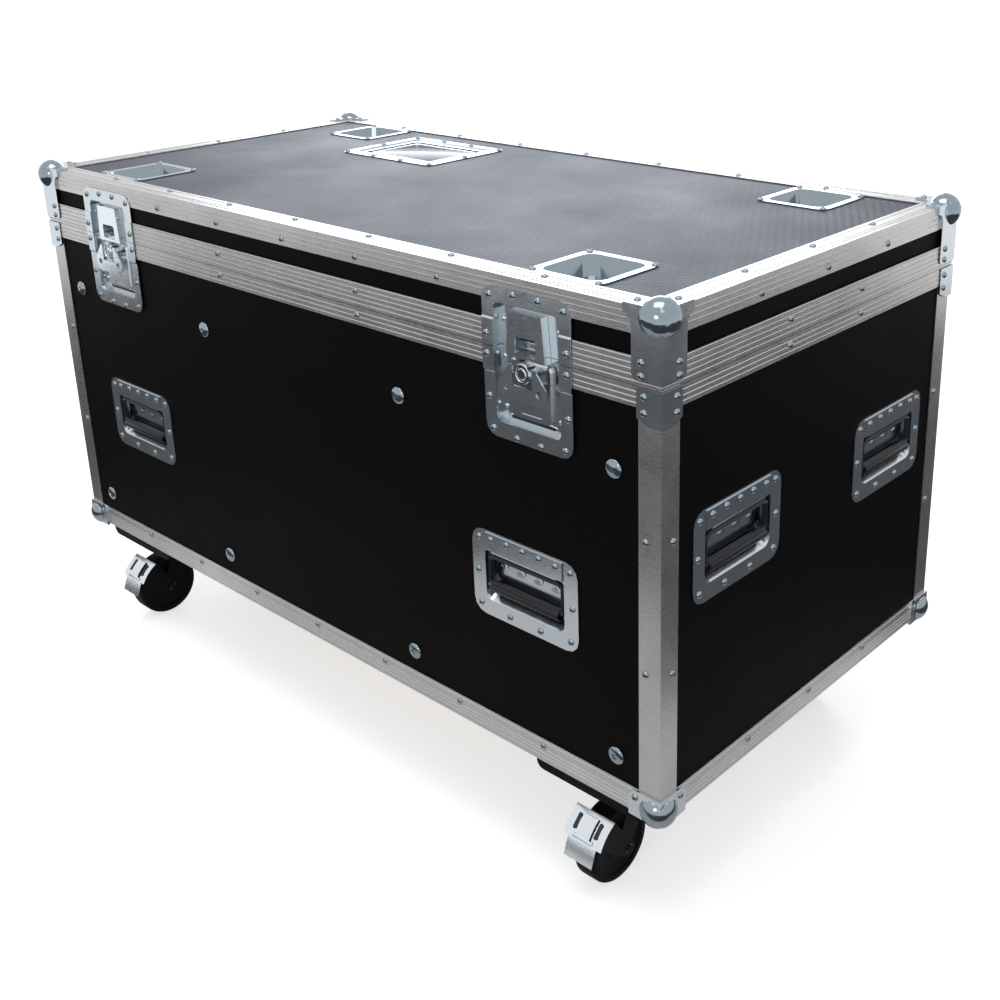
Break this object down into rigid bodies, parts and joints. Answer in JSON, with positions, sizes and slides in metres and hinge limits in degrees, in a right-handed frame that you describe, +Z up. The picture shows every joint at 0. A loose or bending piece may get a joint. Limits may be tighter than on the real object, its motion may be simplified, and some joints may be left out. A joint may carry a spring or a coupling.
{
  "type": "flight case",
  "caption": "Wheeled transport case with a hinged lid, metal edges, ball corners, recessed twist latches, spring handles and stacking dishes for casters in its lid.",
  "frame": {"origin": "on the floor that the casters stand on, under the middle of the case's overall box", "axes": "+X along the case to its right end, -Y out of its front with the latches, +Z up"},
  "size_m": [1.224, 0.6272, 0.7535],
  "materials": {
    "laminate": "fine-grained dark laminate",
    "lid_laminate": "fine-grained laminate, satin",
    "aluminium": "satin extrusion",
    "zinc": "blue zinc plate",
    "bright_zinc": "bright zinc plate",
    "grip": "matte",
    "plywood": "plain",
    "black_board": "black paint, matte",
    "black_metal": "black, semi-gloss",
    "wheel": "matte"
  },
  "bodies": {
    "case": {"floor_panel": "plywood", "front_panel": "laminate", "back_panel": "laminate", "right_panel": "laminate", "left_panel": "laminate", "bottom_edge_frame": "aluminium", "body_rim": "aluminium", "hinge_leaf_body": "aluminium", "corner_angle_front_left": "aluminium", "corner_angle_front_right": "aluminium", "corner_angle_back_right": "aluminium", "corner_angle_back_left": "aluminium", "handle_dish_front_left": "zinc", "handle_dish_front_right": "zinc", "handle_dish_right_front": "zinc", "handle_dish_right_back": "zinc", "handle_dish_left_front": "zinc", "handle_dish_left_back": "zinc", "latch_dish_left": "zinc", "latch_dish_right": "zinc", "caster_plate_front_left": "zinc", "caster_plate_front_right": "zinc", "caster_plate_back_right": "zinc", "caster_plate_back_left": "zinc", "caster_board_left": "black_board", "caster_board_right": "black_board"},
    "lid": {"lid_top": "lid_laminate", "lid_walls": "laminate", "lid_rim": "aluminium", "lid_edge_frame": "aluminium", "hinge_leaf_lid": "aluminium", "keeper_dish_left": "zinc", "keeper_dish_right": "zinc", "label_dish": "zinc", "castor_dish_front_left": "zinc", "castor_dish_front_right": "zinc", "castor_dish_back_right": "zinc", "castor_dish_back_left": "zinc"},
    "bail_front_left": {"handle_bail_front_left": "grip"},
    "bail_front_right": {"handle_bail_front_right": "grip"},
    "bail_right_front": {"handle_bail_right_front": "grip"},
    "bail_right_back": {"handle_bail_right_back": "grip"},
    "bail_left_front": {"handle_bail_left_front": "grip"},
    "bail_left_back": {"handle_bail_left_back": "grip"},
    "fork_front_left": {"caster_fork_front_left": "black_metal"},
    "wheel_front_left": {"caster_wheel_front_left": "wheel"},
    "pedal_front_left": {"brake_pedal_front_left": "bright_zinc"},
    "fork_front_right": {"caster_fork_front_right": "black_metal"},
    "wheel_front_right": {"caster_wheel_front_right": "wheel"},
    "pedal_front_right": {"brake_pedal_front_right": "bright_zinc"},
    "fork_back_right": {"caster_fork_back_right": "black_metal"},
    "wheel_back_right": {"caster_wheel_back_right": "wheel"},
    "fork_back_left": {"caster_fork_back_left": "black_metal"},
    "wheel_back_left": {"caster_wheel_back_left": "wheel"},
    "spindle_left": {"latch_spindle_left": "bright_zinc"},
    "wing_left": {"latch_wing_left": "bright_zinc"},
    "tongue_left": {"latch_tongue_left": "bright_zinc"},
    "spindle_right": {"latch_spindle_right": "bright_zinc"},
    "wing_right": {"latch_wing_right": "bright_zinc"},
    "tongue_right": {"latch_tongue_right": "bright_zinc"}
  },
  "joints": [
    {"name": "lid_hinge", "type": "hinge", "parent": "case", "child": "lid", "pos_m": [0, 0.30656, 0.6605], "axis": [-1, 0, 0], "range_deg": [0, 100]},
    {"name": "bail_front_left_swing", "type": "hinge", "parent": "case", "child": "bail_front_left", "pos_m": [-0.403, -0.29394, 0.3975], "axis": [-1, 0, 0], "range_deg": [0, 90], "stiffness_Nm_per_rad": 0.15},
    {"name": "bail_front_right_swing", "type": "hinge", "parent": "case", "child": "bail_front_right", "pos_m": [0.403, -0.29394, 0.3975], "axis": [-1, 0, 0], "range_deg": [0, 90], "stiffness_Nm_per_rad": 0.15},
    {"name": "bail_right_front_swing", "type": "hinge", "parent": "case", "child": "bail_right_front", "pos_m": [0.5955, -0.16144, 0.4745], "axis": [0, -1, 0], "range_deg": [0, 90], "stiffness_Nm_per_rad": 0.15},
    {"name": "bail_right_back_swing", "type": "hinge", "parent": "case", "child": "bail_right_back", "pos_m": [0.5955, 0.16456, 0.4745], "axis": [0, -1, 0], "range_deg": [0, 90], "stiffness_Nm_per_rad": 0.15},
    {"name": "bail_left_front_swing", "type": "hinge", "parent": "case", "child": "bail_left_front", "pos_m": [-0.5955, -0.16144, 0.4745], "axis": [0, 1, 0], "range_deg": [0, 90], "stiffness_Nm_per_rad": 0.15},
    {"name": "bail_left_back_swing", "type": "hinge", "parent": "case", "child": "bail_left_back", "pos_m": [-0.5955, 0.16456, 0.4745], "axis": [0, 1, 0], "range_deg": [0, 90], "stiffness_Nm_per_rad": 0.15},
    {"name": "swivel_front_left", "type": "hinge", "parent": "case", "child": "fork_front_left", "pos_m": [-0.49, -0.21544, 0.1191], "axis": [0, 0, 1], "continuous": true},
    {"name": "spin_front_left", "type": "hinge", "parent": "fork_front_left", "child": "wheel_front_left", "pos_m": [-0.49, -0.25344, 0.05], "axis": [1, 0, 0], "continuous": true},
    {"name": "brake_front_left", "type": "hinge", "parent": "fork_front_left", "child": "pedal_front_left", "pos_m": [-0.49, -0.25344, 0.05], "axis": [1, 0, 0], "range_deg": [0, 10]},
    {"name": "swivel_front_right", "type": "hinge", "parent": "case", "child": "fork_front_right", "pos_m": [0.49, -0.21544, 0.1191], "axis": [0, 0, 1], "continuous": true},
    {"name": "spin_front_right", "type": "hinge", "parent": "fork_front_right", "child": "wheel_front_right", "pos_m": [0.49, -0.25344, 0.05], "axis": [1, 0, 0], "continuous": true},
    {"name": "brake_front_right", "type": "hinge", "parent": "fork_front_right", "child": "pedal_front_right", "pos_m": [0.49, -0.25344, 0.05], "axis": [1, 0, 0], "range_deg": [0, 10]},
    {"name": "swivel_back_right", "type": "hinge", "parent": "case", "child": "fork_back_right", "pos_m": [0.49, 0.21856, 0.1191], "axis": [0, 0, 1], "continuous": true},
    {"name": "spin_back_right", "type": "hinge", "parent": "fork_back_right", "child": "wheel_back_right", "pos_m": [0.452, 0.21856, 0.05], "axis": [0, -1, 0], "continuous": true},
    {"name": "swivel_back_left", "type": "hinge", "parent": "case", "child": "fork_back_left", "pos_m": [-0.49, 0.21856, 0.1191], "axis": [0, 0, 1], "continuous": true},
    {"name": "spin_back_left", "type": "hinge", "parent": "fork_back_left", "child": "wheel_back_left", "pos_m": [-0.528, 0.21856, 0.05], "axis": [0, -1, 0], "continuous": true},
    {"name": "latch_turn_left", "type": "hinge", "parent": "case", "child": "spindle_left", "pos_m": [-0.42, -0.29844, 0.6405], "axis": [0, -1, 0], "range_deg": [0, 180]},
    {"name": "wing_fold_left", "type": "hinge", "parent": "spindle_left", "child": "wing_left", "pos_m": [-0.42, -0.30694, 0.6405], "axis": [-1, 0, 0], "range_deg": [0, 90]},
    {"name": "tongue_lift_left", "type": "slide", "parent": "case", "child": "tongue_left", "axis": [0, 0, 1], "range_m": [0, 0.004]},
    {"name": "latch_turn_right", "type": "hinge", "parent": "case", "child": "spindle_right", "pos_m": [0.42, -0.29844, 0.6405], "axis": [0, -1, 0], "range_deg": [0, 180]},
    {"name": "wing_fold_right", "type": "hinge", "parent": "spindle_right", "child": "wing_right", "pos_m": [0.42, -0.30694, 0.6405], "axis": [-1, 0, 0], "range_deg": [0, 90]},
    {"name": "tongue_lift_right", "type": "slide", "parent": "case", "child": "tongue_right", "axis": [0, 0, 1], "range_m": [0, 0.004]}
  ],
  "couplings": [
    {"joint": "tongue_lift_left", "follows": "latch_turn_left", "m_per_rad": 0.00127},
    {"joint": "tongue_lift_right", "follows": "latch_turn_right", "m_per_rad": 0.00127}
  ]
}
